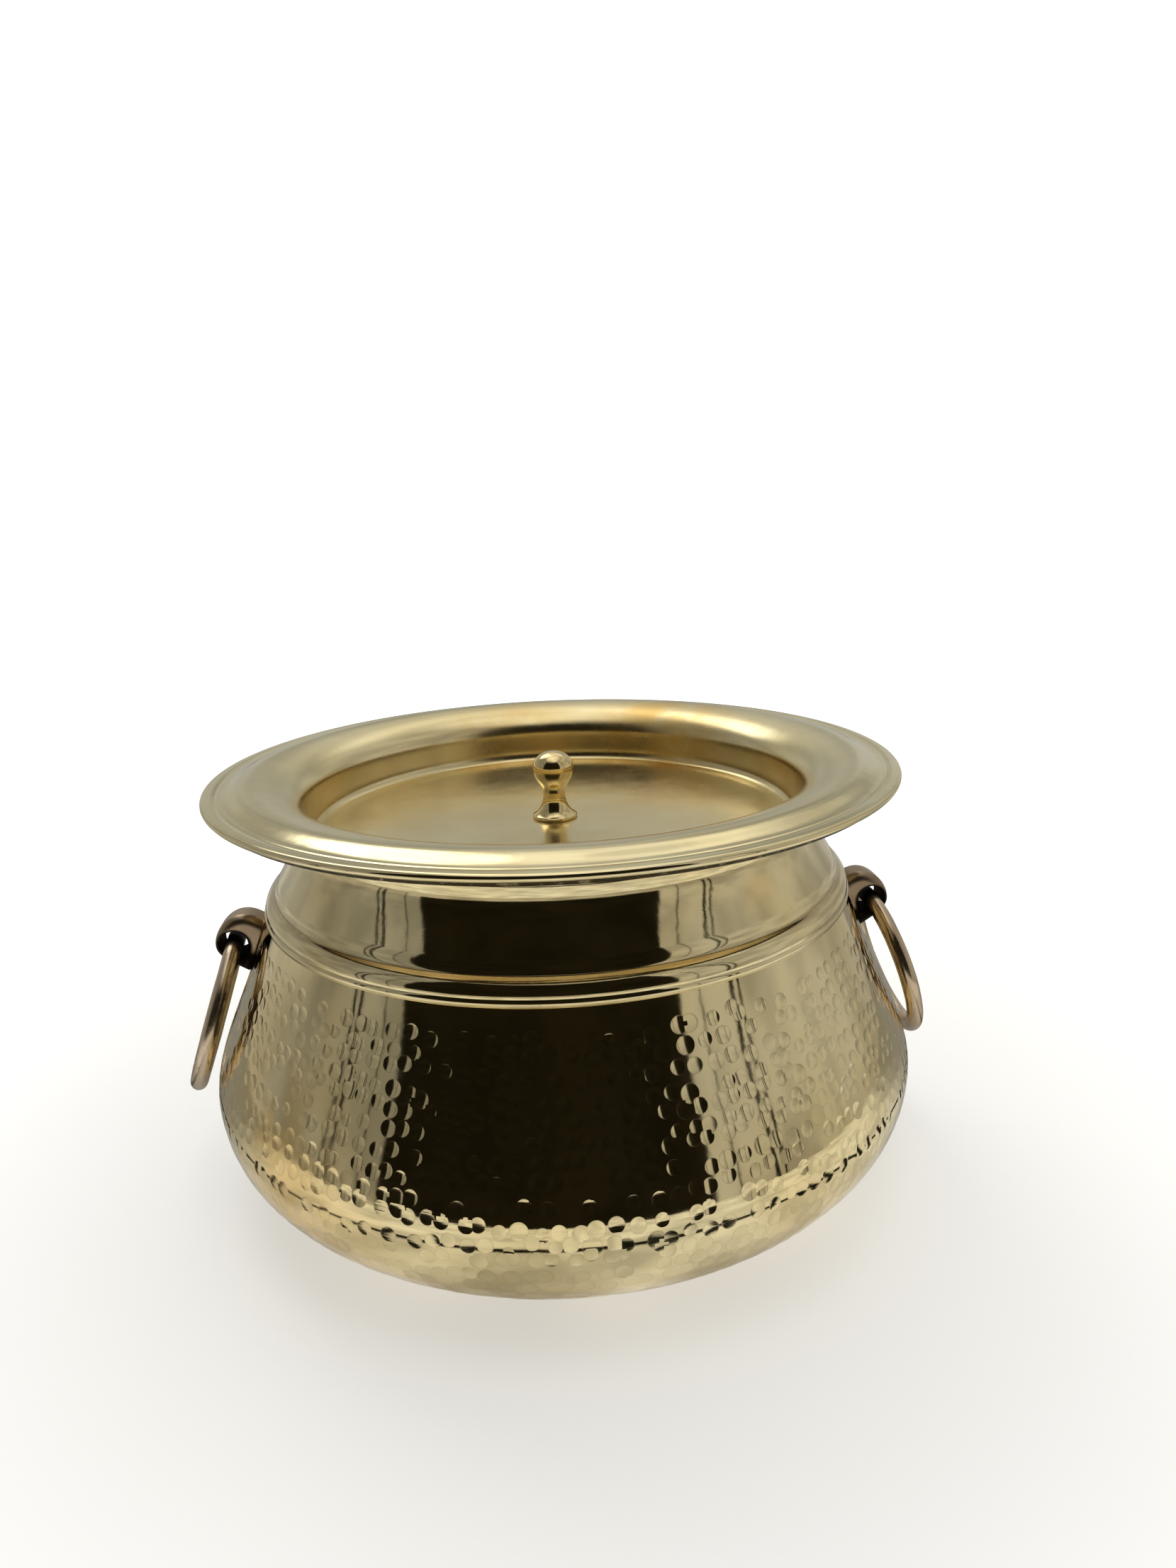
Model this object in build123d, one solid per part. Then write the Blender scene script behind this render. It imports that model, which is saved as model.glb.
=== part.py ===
from build123d import *
import math
import os

# A lidded hammered brass handi, a South Asian cooking pot, in millimetres with +Z up.
# The origin is the centre of the flat base. The ring handles are on the X axis, at its two ends.

# Pot: a raised sheet. Radii are of its outer face.
WALL = 1.8
BASE_RADIUS = 50.0
BELLY_RADIUS = 135.1
BELLY_HEIGHT = 45.4
BELLY_FULLNESS = 0.657
SHOULDER_TURN = 12.6
SHOULDER_LEAN = math.radians(74.3)
SHOULDER_PULL = 25.9
CREASE_RADIUS = 111.0
CREASE_HEIGHT = 110.0
RIDGE_TALL = 2.8
RIDGE_PROUD = 0.6
BEAD_TALL = 5.4
BEAD_PROUD = 1.0
BEAD_TOP_RADIUS = 107.8
FILLET_PULL = (-1.4, 0.5)
NECK_FOOT_RADIUS = 105.8
NECK_FOOT_HEIGHT = 121.8
NECK_FOOT_PULL = (-3.8, 6.0)
NECK_TOP_PULL = 9.0
LIP_LOW_PULL = 4.6
LIP_HIGH_PULL = 9.0
NECK_RADIUS = 97.2
NECK_HEIGHT = 146.2

# Rolled rim of the pot, with a narrow flat land on top that the lid sits on.
RIM_RADIUS = 124.2
RIM_ROLL = 1.9
SEAT_HEIGHT = 157.2
RIM_LAND = 0.85
RIM_INNER_SIDE = math.radians(150)

# Lid: a spun sheet. Heights are of its upper face.
LID_SHEET = 1.2
LID_FLOOR_HEIGHT = 136.3
LID_FLOOR_RADIUS = 88.0
LID_WALL_RADIUS = 93.5
LID_WALL_LOW = 141.8
LID_WALL_HIGH = 148.5
LID_CREST_RADIUS = 113.6
LID_CREST_HEIGHT = 160.6
LID_FLARE_PULL = (9.0, 6.5)
LID_CORNER_PULL = (1.2, 1.6)
LID_SLOPE_PULL = (3.0, 0.5)
LID_SEAT_RADIUS = 121.6
LID_EDGE_RADIUS = 127.4
LID_EDGE_ROLL = 1.35

# Knob and its fixing. Radii, and heights above the lid's floor.
KNOB_HEIGHT = 26.0
KNOB_FOOT_RADIUS = 8.6
KNOB_FOOT_TALL = 1.2
KNOB_WAIST_RADIUS = 4.3
KNOB_WAIST_HEIGHT = 8.4
KNOB_HEAD_RADIUS = 7.8
KNOB_HEAD_HEIGHT = 19.8
KNOB_NECK_HEIGHT = 10.5
KNOB_FOOT_PULL = (1.0, 1.6)
KNOB_WAIST_PULL = 2.0
KNOB_NECK_PULL = (0.4, 3.0)
KNOB_HEAD_PULL = 5.0
KNOB_DOME_FULLNESS = (0.55, 0.6)
SCREW_RADIUS = 2.45
SCREW_CLEARANCE = 0.05
LID_HOLE_CLEARANCE = 0.25
SCREW_DEPTH = 12.0
TAPPING_EXTRA = 1.0
SCREW_HEAD_RADIUS = 4.6
SCREW_HEAD_TALL = 2.6
SCREW_HEAD_ROUND = 1.1
SCREW_SLOT = 1.2
KNOB_WASHER_RADIUS = 7.0
KNOB_WASHER_TALL = 1.0

# Ring handles: round rod, hung in the lugs' eyes. Each leans off the belly, and the left one hangs skewed.
RING_RADIUS = 28.9
RING_ROD = 3.25
RIGHT_RING_LEAN = 16.1
LEFT_RING_LEAN = 19.3
LEFT_RING_SKEW = 4.75
RING_PIVOT_RADIUS = 125.9
RING_PIVOT_HEIGHT = 94.7

# Lugs: a cast hood on the shoulder, with a round eye through it for the ring.
LUG_WIDE = 13.4
LUG_ROUND = 3.4
LUG_REACH = 133.0
LUG_REACH_HEIGHT = 94.6
LUG_TOP = (110.0, 99.2)
LUG_TOP_PULL = (122.1, 114.2)
LUG_CREST_PULL = 7.5
LUG_BOTTOM_PULL = 5.7
LUG_FOOT_PULL = (125.5, 86.3)
LUG_FOOT = (114.0, 78.5)
EYE_CENTRE_RADIUS = 125.6
EYE_CENTRE_HEIGHT = 95.0
EYE_RADIUS = 5.4

# Each lug's two tenons go through the pot's wall and a burr washer, and are peened over inside.
TENON_HEIGHTS = (99.5, 86.5)
TENON_RADIUS = 3.0
TENON_CLEARANCE = 0.05
TENON_ROOT = 0.7
TENON_HEAD_RADIUS = 4.2
TENON_HEAD_TALL = 1.8
BURR_RADIUS = 5.4
BURR_TALL = 1.2
BURR_STAND_OFF = 0.4


def on_axis_plane(point):
    """A point given as (radius, height), placed in the XZ plane."""
    return Vector(point[0], 0, point[1])


def line(start, end):
    return Edge.make_line(on_axis_plane(start), on_axis_plane(end))


def curve(*points):
    return Edge.make_bezier(*[on_axis_plane(p) for p in points])


def arc(start, middle, end):
    return Edge.make_three_point_arc(on_axis_plane(start), on_axis_plane(middle), on_axis_plane(end))


def turned(edges):
    """The solid turned about Z from a closed half section, its surface seams at the back."""
    return Rot(0, 0, 90) * revolve(Face(Wire(edges)), axis=Axis.Z)


def beside(points, gap):
    """The control points of a curve that runs at a distance gap to the left of the given one."""
    legs = []
    for (r0, z0), (r1, z1) in zip(points, points[1:]):
        run = math.hypot(r1 - r0, z1 - z0)
        away = (-(z1 - z0) / run * gap, (r1 - r0) / run * gap)
        legs.append(((r0 + away[0], z0 + away[1]), ((r1 - r0) / run, (z1 - z0) / run)))
    moved = [legs[0][0]]
    for (p, u), (q, v) in zip(legs, legs[1:]):
        cross = u[0] * v[1] - u[1] * v[0]
        along = ((q[0] - p[0]) * v[1] - (q[1] - p[1]) * v[0]) / cross
        moved.append((p[0] + along * u[0], p[1] + along * u[1]))
    (r0, z0), (r1, z1) = points[-2:]
    run = math.hypot(r1 - r0, z1 - z0)
    moved.append((r1 - (z1 - z0) / run * gap, z1 + (r1 - r0) / run * gap))
    return moved


# Control points of the pot's outer face, from the base upward.
BELLY = [
    (BASE_RADIUS, 0),
    (BASE_RADIUS + BELLY_FULLNESS * (BELLY_RADIUS - BASE_RADIUS), 0),
    (BELLY_RADIUS, BELLY_HEIGHT * (1 - BELLY_FULLNESS)),
    (BELLY_RADIUS, BELLY_HEIGHT),
]
SHOULDER = [
    (BELLY_RADIUS, BELLY_HEIGHT),
    (BELLY_RADIUS, BELLY_HEIGHT + SHOULDER_TURN),
    (
        CREASE_RADIUS + SHOULDER_PULL * math.cos(SHOULDER_LEAN),
        CREASE_HEIGHT - SHOULDER_PULL * math.sin(SHOULDER_LEAN),
    ),
    (CREASE_RADIUS, CREASE_HEIGHT),
]
NECK = [
    (NECK_FOOT_RADIUS, NECK_FOOT_HEIGHT),
    (NECK_FOOT_RADIUS + NECK_FOOT_PULL[0], NECK_FOOT_HEIGHT + NECK_FOOT_PULL[1]),
    (NECK_RADIUS, NECK_HEIGHT - NECK_TOP_PULL),
    (NECK_RADIUS, NECK_HEIGHT),
]
RIM_CENTRE_HEIGHT = SEAT_HEIGHT - math.sqrt(RIM_ROLL**2 - RIM_LAND**2)
LIP = [
    (NECK_RADIUS, NECK_HEIGHT),
    (NECK_RADIUS, NECK_HEIGHT + LIP_LOW_PULL),
    (NECK_RADIUS + LIP_HIGH_PULL, RIM_CENTRE_HEIGHT - RIM_ROLL),
    (RIM_RADIUS, RIM_CENTRE_HEIGHT - RIM_ROLL),
]


def pot_outside():
    """Edges of the pot's outer face, from the axis at the base to the bottom of the rolled rim."""
    ridge_top = (CREASE_RADIUS, CREASE_HEIGHT + RIDGE_TALL)
    bead_top = (BEAD_TOP_RADIUS, CREASE_HEIGHT + RIDGE_TALL + BEAD_TALL)
    ridge_middle = (CREASE_RADIUS + RIDGE_PROUD, CREASE_HEIGHT + RIDGE_TALL / 2)
    bead_middle = (
        (CREASE_RADIUS + BEAD_TOP_RADIUS) / 2 + BEAD_PROUD,
        CREASE_HEIGHT + RIDGE_TALL + BEAD_TALL / 2,
    )
    return [
        line((0, 0), BELLY[0]),
        curve(*BELLY),
        curve(*SHOULDER),
        arc(SHOULDER[-1], ridge_middle, ridge_top),
        arc(ridge_top, bead_middle, bead_top),
        curve(bead_top, (bead_top[0] + FILLET_PULL[0], bead_top[1] + FILLET_PULL[1]), NECK[0]),
        curve(*NECK),
        curve(*LIP),
    ]


def pot_filled():
    """The pot's outer shape with no hollow, used to seat the lugs on it."""
    top = RIM_CENTRE_HEIGHT - RIM_ROLL
    return turned(pot_outside() + [line(LIP[-1], (0, top)), line((0, top), (0, 0))])


def pot_shell():
    belly = beside(BELLY, WALL)
    shoulder = beside(SHOULDER, WALL)
    neck = beside(NECK, WALL)
    lip = beside(LIP, WALL)
    roll_inner = math.sqrt(RIM_ROLL**2 - (lip[-1][1] - RIM_CENTRE_HEIGHT) ** 2)
    lip[-1] = (RIM_RADIUS - roll_inner, lip[-1][1])
    land_outer = (RIM_RADIUS + RIM_LAND, SEAT_HEIGHT)
    land_inner = (RIM_RADIUS - RIM_LAND, SEAT_HEIGHT)
    roll_middle = (
        RIM_RADIUS + RIM_ROLL * math.cos(RIM_INNER_SIDE),
        RIM_CENTRE_HEIGHT + RIM_ROLL * math.sin(RIM_INNER_SIDE),
    )
    rim = [
        arc(LIP[-1], (RIM_RADIUS + RIM_ROLL, RIM_CENTRE_HEIGHT), land_outer),
        line(land_outer, land_inner),
        arc(land_inner, roll_middle, lip[-1]),
    ]
    inside = [
        curve(*reversed(lip)),
        curve(*reversed(neck)),
        line(neck[0], shoulder[-1]),
        curve(*reversed(shoulder)),
        curve(*reversed(belly)),
        line(belly[0], (0, WALL)),
        line((0, WALL), (0, 0)),
    ]
    return turned(pot_outside() + rim + inside)


def lid():
    """The lid. Its half section runs outward on the upper face, round the rolled edge and back underneath."""
    hole = SCREW_RADIUS + LID_HOLE_CLEARANCE
    corner = [
        (LID_FLOOR_RADIUS, LID_FLOOR_HEIGHT),
        (LID_WALL_RADIUS - LID_CORNER_PULL[0], LID_FLOOR_HEIGHT),
        (LID_WALL_RADIUS, LID_FLOOR_HEIGHT + LID_CORNER_PULL[1]),
        (LID_WALL_RADIUS, LID_WALL_LOW),
    ]
    flare = [
        (LID_WALL_RADIUS, LID_WALL_HIGH),
        (LID_WALL_RADIUS, LID_WALL_HIGH + LID_FLARE_PULL[1]),
        (LID_WALL_RADIUS + LID_FLARE_PULL[0], LID_CREST_HEIGHT),
        (LID_CREST_RADIUS, LID_CREST_HEIGHT),
    ]
    seat_top = SEAT_HEIGHT + LID_SHEET
    slope = [
        (LID_CREST_RADIUS, LID_CREST_HEIGHT),
        (LID_CREST_RADIUS + LID_SLOPE_PULL[0], LID_CREST_HEIGHT),
        (LID_SEAT_RADIUS - LID_SLOPE_PULL[0], seat_top + LID_SLOPE_PULL[1]),
        (LID_SEAT_RADIUS, seat_top),
    ]
    below_corner = beside(corner, -LID_SHEET)
    below_flare = beside(flare, -LID_SHEET)
    below_slope = beside(slope, -LID_SHEET)
    below_slope[-1] = (below_slope[-1][0], SEAT_HEIGHT)
    roll_height = seat_top - LID_EDGE_ROLL
    diagonal = LID_EDGE_ROLL * math.sqrt(0.5)
    edge_top = (LID_EDGE_RADIUS, seat_top)
    edge_reach = (LID_EDGE_RADIUS + LID_EDGE_ROLL, roll_height)
    edge_under = (LID_EDGE_RADIUS, roll_height - LID_EDGE_ROLL)
    edge_lower = (LID_EDGE_RADIUS - diagonal, roll_height - diagonal)
    tuck = math.sqrt(LID_EDGE_ROLL**2 - (SEAT_HEIGHT - roll_height) ** 2)
    edge_inner = (LID_EDGE_RADIUS - tuck, SEAT_HEIGHT)
    return turned(
        [
            line((hole, LID_FLOOR_HEIGHT), corner[0]),
            curve(*corner),
            line(corner[-1], flare[0]),
            curve(*flare),
            curve(*slope),
            line(slope[-1], edge_top),
            arc(edge_top, edge_reach, edge_under),
            arc(edge_under, edge_lower, edge_inner),
            line(edge_inner, below_slope[-1]),
            curve(*reversed(below_slope)),
            curve(*reversed(below_flare)),
            line(below_flare[0], below_corner[-1]),
            curve(*reversed(below_corner)),
            line(below_corner[0], (hole, LID_FLOOR_HEIGHT - LID_SHEET)),
            line((hole, LID_FLOOR_HEIGHT - LID_SHEET), (hole, LID_FLOOR_HEIGHT)),
        ]
    )


def lid_knob():
    foot = (KNOB_FOOT_RADIUS, LID_FLOOR_HEIGHT)
    foot_top = (KNOB_FOOT_RADIUS, LID_FLOOR_HEIGHT + KNOB_FOOT_TALL)
    waist = (KNOB_WAIST_RADIUS, LID_FLOOR_HEIGHT + KNOB_WAIST_HEIGHT)
    neck = (KNOB_WAIST_RADIUS, LID_FLOOR_HEIGHT + KNOB_NECK_HEIGHT)
    head = (KNOB_HEAD_RADIUS, LID_FLOOR_HEIGHT + KNOB_HEAD_HEIGHT)
    top = (0, LID_FLOOR_HEIGHT + KNOB_HEIGHT)
    dome = KNOB_HEIGHT - KNOB_HEAD_HEIGHT
    sweep_low = (waist[0] + KNOB_FOOT_PULL[0], foot_top[1] + KNOB_FOOT_PULL[1])
    sweep_high = (waist[0], waist[1] - KNOB_WAIST_PULL)
    bud_low = (neck[0] + KNOB_NECK_PULL[0], neck[1] + KNOB_NECK_PULL[1])
    bud_high = (head[0], head[1] - KNOB_HEAD_PULL)
    dome_low = (head[0], head[1] + KNOB_DOME_FULLNESS[1] * dome)
    dome_high = (KNOB_DOME_FULLNESS[0] * head[0], top[1])
    blank = turned(
        [
            line((0, LID_FLOOR_HEIGHT), foot),
            line(foot, foot_top),
            curve(foot_top, sweep_low, sweep_high, waist),
            line(waist, neck),
            curve(neck, bud_low, bud_high, head),
            curve(head, dome_low, dome_high, top),
            line(top, (0, LID_FLOOR_HEIGHT)),
        ]
    )
    upward = (Align.CENTER, Align.CENTER, Align.MIN)
    tapping = Cylinder(SCREW_RADIUS + SCREW_CLEARANCE, SCREW_DEPTH + TAPPING_EXTRA, align=upward)
    return blank - Pos(0, 0, LID_FLOOR_HEIGHT) * tapping


LID_UNDERSIDE = LID_FLOOR_HEIGHT - LID_SHEET


def knob_washer():
    downward = (Align.CENTER, Align.CENTER, Align.MAX)
    disc = Cylinder(KNOB_WASHER_RADIUS, KNOB_WASHER_TALL, align=downward)
    hole = Cylinder(SCREW_RADIUS + LID_HOLE_CLEARANCE, KNOB_WASHER_TALL, align=downward)
    return Pos(0, 0, LID_UNDERSIDE) * (disc - hole)


def knob_screw():
    """A slotted pan-head screw. Its thread is a plain shank that fits the tapped hole closely."""
    upward = (Align.CENTER, Align.CENTER, Align.MIN)
    head_top = LID_UNDERSIDE - KNOB_WASHER_TALL
    head = Cylinder(SCREW_HEAD_RADIUS, SCREW_HEAD_TALL, align=(Align.CENTER, Align.CENTER, Align.MAX))
    head = fillet(head.edges().sort_by(Axis.Z)[0], SCREW_HEAD_ROUND)
    slot = Box(2 * SCREW_HEAD_RADIUS, SCREW_SLOT, SCREW_SLOT, align=upward)
    head = head - Pos(0, 0, -SCREW_HEAD_TALL) * slot
    shank = Cylinder(SCREW_RADIUS, LID_FLOOR_HEIGHT + SCREW_DEPTH - head_top, align=upward)
    return Pos(0, 0, head_top) * (head + shank)


def ring(lean, skew):
    """A ring at rest in the right-hand lug: its rod passes through the eye at the pivot."""
    hung = Pos(0, 0, -RING_RADIUS) * (Rot(0, 90, 0) * Torus(RING_RADIUS, RING_ROD))
    return Pos(RING_PIVOT_RADIUS, 0, RING_PIVOT_HEIGHT) * (Rot(0, 0, skew) * (Rot(0, -lean, 0) * hung))


def wall_frame(height):
    """A plane on the pot's outer face at this height, above the belly, its normal pointing outward."""
    face = curve(*SHOULDER)
    low, high = 0.0, 1.0
    for _ in range(40):
        middle = (low + high) / 2
        if (face @ middle).Z < height:
            low = middle
        else:
            high = middle
    along = face % low
    return Plane(origin=face @ low, x_dir=(0, 1, 0), z_dir=Vector(along.Z, 0, -along.X))


TENON_FRAMES = [wall_frame(height) for height in TENON_HEIGHTS]


def tenon_hole():
    return Cylinder(TENON_RADIUS + TENON_CLEARANCE, 5 * WALL)


def lug_hood():
    """The hood of the right-hand lug: a side outline with rounded edges, less its eye."""
    reach = (LUG_REACH, LUG_REACH_HEIGHT)
    top = curve(LUG_TOP, LUG_TOP_PULL, (LUG_REACH, LUG_REACH_HEIGHT + LUG_CREST_PULL), reach)
    bottom = curve(reach, (LUG_REACH, LUG_REACH_HEIGHT - LUG_BOTTOM_PULL), LUG_FOOT_PULL, LUG_FOOT)
    outline = Face(Wire([top, bottom, line(LUG_FOOT, LUG_TOP)]))
    hood = extrude(outline, amount=LUG_WIDE / 2, dir=(0, 1, 0), both=True)
    rims = [e for e in hood.edges() if e.geom_type == GeomType.BEZIER and abs(e.center().Y) > LUG_WIDE / 4]
    hood = fillet(rims, LUG_ROUND)
    eye = Rot(90, 0, 0) * Cylinder(EYE_RADIUS, 2 * LUG_WIDE)
    return hood - Pos(EYE_CENTRE_RADIUS, 0, EYE_CENTRE_HEIGHT) * eye


def tenon(frame):
    """A tenon of the lug: through the wall and its burr washer, and peened over inside the pot."""
    inward = (Align.CENTER, Align.CENTER, Align.MAX)
    head_height = -WALL - BURR_TALL - BURR_STAND_OFF
    shank = Cylinder(TENON_RADIUS, TENON_ROOT - head_height + TENON_HEAD_TALL / 2, align=inward)
    head = Sphere(TENON_HEAD_RADIUS) & Cylinder(TENON_HEAD_RADIUS, 2 * TENON_HEAD_RADIUS, align=inward)
    head = scale(head, by=(1, 1, TENON_HEAD_TALL / TENON_HEAD_RADIUS))
    return frame * (Pos(0, 0, TENON_ROOT) * shank + Pos(0, 0, head_height) * head)


def lug(body):
    """The right-hand lug, seated on the pot's outer face."""
    casting = lug_hood() - body
    for frame in TENON_FRAMES:
        casting = casting + tenon(frame)
    return casting


def lug_washers(shell):
    """The right-hand pair of burr washers, dished to the pot's inner face."""
    outward = (Align.CENTER, Align.CENTER, Align.MIN)
    pair = []
    for frame in TENON_FRAMES:
        blank = Cylinder(BURR_RADIUS, BURR_TALL + WALL / 3, align=outward)
        washer = frame * (Pos(0, 0, -WALL - BURR_TALL - BURR_STAND_OFF) * (blank - tenon_hole()))
        pair.append((washer - shell).solids().sort_by(SortBy.VOLUME)[-1])
    return Compound(children=pair)


def on_left(shape):
    """The same piece on the other end of the X axis."""
    return Rot(0, 0, 180) * shape


def write(name, shape):
    shape.label = name
    export_step(shape, f"parts/{name}.step")


def main():
    os.makedirs("parts", exist_ok=True)
    filled = pot_filled()
    shell = pot_shell()
    washers = lug_washers(shell)
    right_lug = lug(filled)
    for frame in TENON_FRAMES:
        bore = frame * tenon_hole()
        shell = shell - bore - on_left(bore)
    write("pot_body", shell)
    write("lid", lid())
    write("lid_knob", lid_knob())
    write("knob_washer", knob_washer())
    write("knob_screw", knob_screw())
    write("right_lug", right_lug)
    write("left_lug", on_left(right_lug))
    write("right_lug_washers", washers)
    write("left_lug_washers", on_left(washers))
    write("right_ring", ring(RIGHT_RING_LEAN, 0))
    write("left_ring", on_left(ring(LEFT_RING_LEAN, LEFT_RING_SKEW)))


main()
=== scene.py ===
import math

import bmesh
import bpy
import numpy as np
from mathutils import Matrix, Vector

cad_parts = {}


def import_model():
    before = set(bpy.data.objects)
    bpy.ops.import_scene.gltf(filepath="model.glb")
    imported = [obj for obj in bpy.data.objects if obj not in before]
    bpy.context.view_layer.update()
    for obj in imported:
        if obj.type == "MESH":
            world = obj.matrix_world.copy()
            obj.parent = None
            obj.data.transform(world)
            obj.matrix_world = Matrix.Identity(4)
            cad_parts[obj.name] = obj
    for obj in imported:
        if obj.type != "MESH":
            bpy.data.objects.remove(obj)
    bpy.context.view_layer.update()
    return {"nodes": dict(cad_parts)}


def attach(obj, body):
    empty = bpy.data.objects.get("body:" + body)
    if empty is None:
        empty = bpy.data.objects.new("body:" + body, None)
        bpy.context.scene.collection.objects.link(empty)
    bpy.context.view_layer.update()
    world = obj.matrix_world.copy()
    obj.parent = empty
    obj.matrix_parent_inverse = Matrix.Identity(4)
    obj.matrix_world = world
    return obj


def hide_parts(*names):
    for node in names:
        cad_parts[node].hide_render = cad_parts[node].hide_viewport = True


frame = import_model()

MM = 0.001
TURN = 2 * math.pi
RNG = np.random.default_rng(27)

# Half sections, as (radius, height) in millimetres. They are the CAD model's own curves, except
# that the neck and the lip stand up to half a millimetre off them, so that the top of the neck
# turns upright and reflects a pale band there.
WALL = 1.8
CREASE = (111.0, 110.0)
RIDGE_TOP = (111.0, 112.8)
RIDGE_MIDDLE = (111.6, 111.4)
BEAD_MIDDLE = (110.4, 115.5)
BEAD_TOP = (107.8, 118.2)
FILLET = (106.4, 118.7)
NECK_FOOT = (105.8, 121.8)
NECK_TOP = (98.0, 140.0)
RIM_CENTRE = (124.2, 155.501)
RIM_ROLL = 1.9
SEAT_HEIGHT = 157.2
BASE_RADIUS = 50.0
BELLY = [(BASE_RADIUS, 0), (105.87, 0), (135.1, 15.572), (135.1, 45.4)]
SHOULDER = [(135.1, 45.4), (135.1, 58.0), (118.009, 85.066), CREASE]
NECK = [NECK_FOOT, (102.4, 127.4), (98.0, 135.8), NECK_TOP]
LIP = [NECK_TOP, (98.0, 148.0), (104.6, 153.601), (124.2, 153.601)]


# ---------------------------------------------------------------- curves

def bezier(points, count):
    t = np.linspace(0, 1, count)[:, None]
    a, b, c, d = (np.array(p, float) for p in points)
    return (1 - t) ** 3 * a + 3 * (1 - t) ** 2 * t * b + 3 * (1 - t) * t * t * c + t**3 * d


def bezier2(points, count):
    t = np.linspace(0, 1, count)[:, None]
    a, b, c = (np.array(p, float) for p in points)
    return (1 - t) ** 2 * a + 2 * (1 - t) * t * b + t * t * c


def arc3(a, m, b, count):
    """Points of the circle arc from a through m to b."""
    (ax, ay), (mx, my), (bx, by) = a, m, b
    d = 2 * (ax * (my - by) + mx * (by - ay) + bx * (ay - my))
    ux = ((ax**2 + ay**2) * (my - by) + (mx**2 + my**2) * (by - ay) + (bx**2 + by**2) * (ay - my)) / d
    uy = ((ax**2 + ay**2) * (bx - mx) + (mx**2 + my**2) * (ax - bx) + (bx**2 + by**2) * (mx - ax)) / d
    t0, tm, t1 = (math.atan2(y - uy, x - ux) for x, y in (a, m, b))
    sweep = (t1 - t0) % TURN
    if (tm - t0) % TURN > sweep:
        sweep -= TURN
    t = t0 + np.linspace(0, sweep, count)
    radius = math.hypot(ax - ux, ay - uy)
    return np.stack([ux + radius * np.cos(t), uy + radius * np.sin(t)], 1)


def offset(points, gap):
    """A curve's points moved by gap to the left of its direction."""
    step = np.gradient(points, axis=0)
    step /= np.linalg.norm(step, axis=1)[:, None]
    return points + gap * np.stack([-step[:, 1], step[:, 0]], 1)


def even(points, spacing):
    """The curve's points set at an even spacing along it, ends kept."""
    length = np.concatenate([[0], np.cumsum(np.linalg.norm(np.diff(points, axis=0), axis=1))])
    count = max(2, int(round(length[-1] / spacing)) + 1)
    at = np.linspace(0, length[-1], count)
    return np.stack([np.interp(at, length, points[:, k]) for k in (0, 1)], 1)


def circle(centre, radius, degrees):
    """Points of a circle at the given angles."""
    turn = np.radians(degrees)
    return np.stack([centre[0] + radius * np.cos(turn), centre[1] + radius * np.sin(turn)], 1)


# ---------------------------------------------------------------- meshes

def shown(name, data):
    """A new object in the scene for a mesh or a camera."""
    obj = bpy.data.objects.new(name, data)
    bpy.context.scene.collection.objects.link(obj)
    return obj


class Lathe:
    """Rows of points round the Z axis, each with its own count, joined into one closed mesh."""

    def __init__(self):
        self.co = []
        self.faces = []
        self.rows = []
        self.sharp = set()

    def row(self, radius, height, count, sharp=False):
        """A circle of points, or at no radius the one point on the axis."""
        if radius < 1e-6:
            self.add([(0.0, 0.0, float(height))])
            return
        a = TURN * np.arange(count) / count
        self.add(list(zip(radius * np.cos(a), radius * np.sin(a), [height] * count)), sharp)

    def add(self, points, sharp=False):
        self.rows.append((len(self.co), len(points)))
        self.co.extend(points)
        if len(self.rows) > 1:
            self.join(self.rows[-2], self.rows[-1])
        if sharp:
            self.sharp.add(len(self.rows) - 1)

    def join(self, below, above):
        (a, na), (b, nb) = below, above
        if na == 1:
            self.faces.extend((a, b + (i + 1) % nb, b + i) for i in range(nb))
        elif nb == 1:
            self.faces.extend((a + i, a + (i + 1) % na, b) for i in range(na))
        elif na == nb:
            self.faces.extend((a + i, a + (i + 1) % na, b + (i + 1) % nb, b + i) for i in range(na))
        elif nb == 2 * na:
            for i in range(na):
                j = (2 * i, 2 * i + 1, (2 * i + 2) % nb)
                k = (i + 1) % na
                self.faces.append((a + i, b + j[1], b + j[0]))
                self.faces.append((a + i, a + k, b + j[1]))
                self.faces.append((a + k, b + j[2], b + j[1]))
        elif na == 2 * nb:
            for i in range(nb):
                j = (2 * i, 2 * i + 1, (2 * i + 2) % na)
                k = (i + 1) % nb
                self.faces.append((a + j[0], a + j[1], b + i))
                self.faces.append((a + j[1], b + k, b + i))
                self.faces.append((a + j[1], a + j[2], b + k))
        else:
            raise ValueError(f"rows of {na} and {nb} can't be joined")

    def object(self, name):
        mesh = bpy.data.meshes.new(name)
        mesh.from_pydata([(x * MM, y * MM, z * MM) for x, y, z in self.co], [], self.faces)
        mesh.polygons.foreach_set("use_smooth", [True] * len(mesh.polygons))
        row_of = {}
        for n in self.sharp:
            start, count = self.rows[n]
            row_of.update({start + i: n for i in range(count)})
        for e in mesh.edges:
            a, b = e.vertices
            if a in row_of and row_of.get(b) == row_of[a]:
                e.use_edge_sharp = True
        return shown(name, mesh)


def add_rows(lathe, points, count, skip_first=True, sharp_last=False):
    """Adds a curve's points as rows, outward from the row that is already there."""
    points = points[1:] if skip_first else points
    for n, (r, z) in enumerate(points):
        lathe.row(r, z, count, sharp=sharp_last and n == len(points) - 1)


# ---------------------------------------------------------------- hammered pot

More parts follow.
